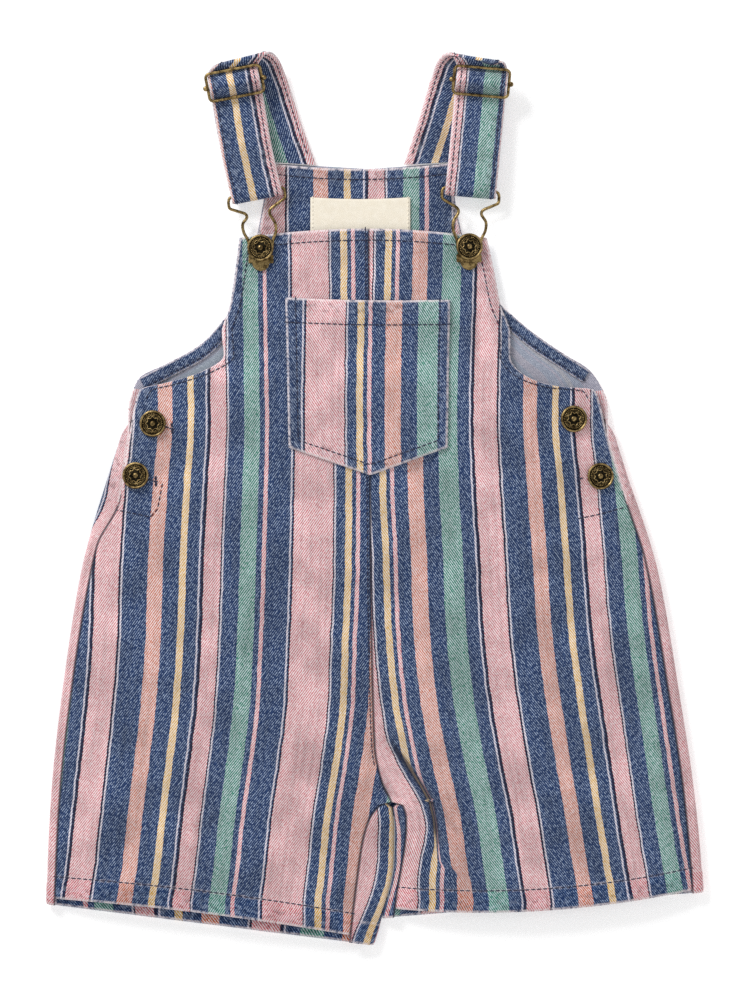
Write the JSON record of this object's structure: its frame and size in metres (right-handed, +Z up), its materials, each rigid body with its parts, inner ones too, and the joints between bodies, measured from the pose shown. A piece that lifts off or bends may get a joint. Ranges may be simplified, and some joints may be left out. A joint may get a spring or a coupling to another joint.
{
  "type": "bib overalls",
  "caption": "Child's striped denim bib overalls with short legs, laid flat, with a patch pocket, side buttons and strap hooks",
  "frame": {"origin": "On the surface that the garment lies on, at the centre of its outline seen from above", "axes": "+Z up from the surface, out of the garment's front; +Y from the leg hems towards the shoulder straps; +X to the right of someone looking at the front"},
  "size_m": [0.3667, 0.4992, 0.0176],
  "materials": {
    "denim": "yarn-dyed striped cotton twill, washed",
    "tape": "matt woven tape",
    "brass": "antiqued, dark in the hollows"
  },
  "bodies": {
    "root": {"front_left": "denim", "front_right": "denim", "back_left": "denim", "back_right": "denim", "back_facing": "denim", "armhole_band_left": "denim", "armhole_band_right": "denim", "pocket": "denim", "strap_left": "denim", "strap_right": "denim", "label": "tape", "hook_left": "brass", "hook_right": "brass", "hook_plate_left": "brass", "hook_plate_right": "brass", "slider_frame_left": "brass", "slider_frame_right": "brass", "slider_bar_left": "brass", "slider_bar_right": "brass", "bib_button_left": "brass", "bib_button_right": "brass", "side_button_left_upper": "brass", "side_button_left_lower": "brass", "side_button_right_upper": "brass", "side_button_right_lower": "brass"}
  },
  "joints": []
}
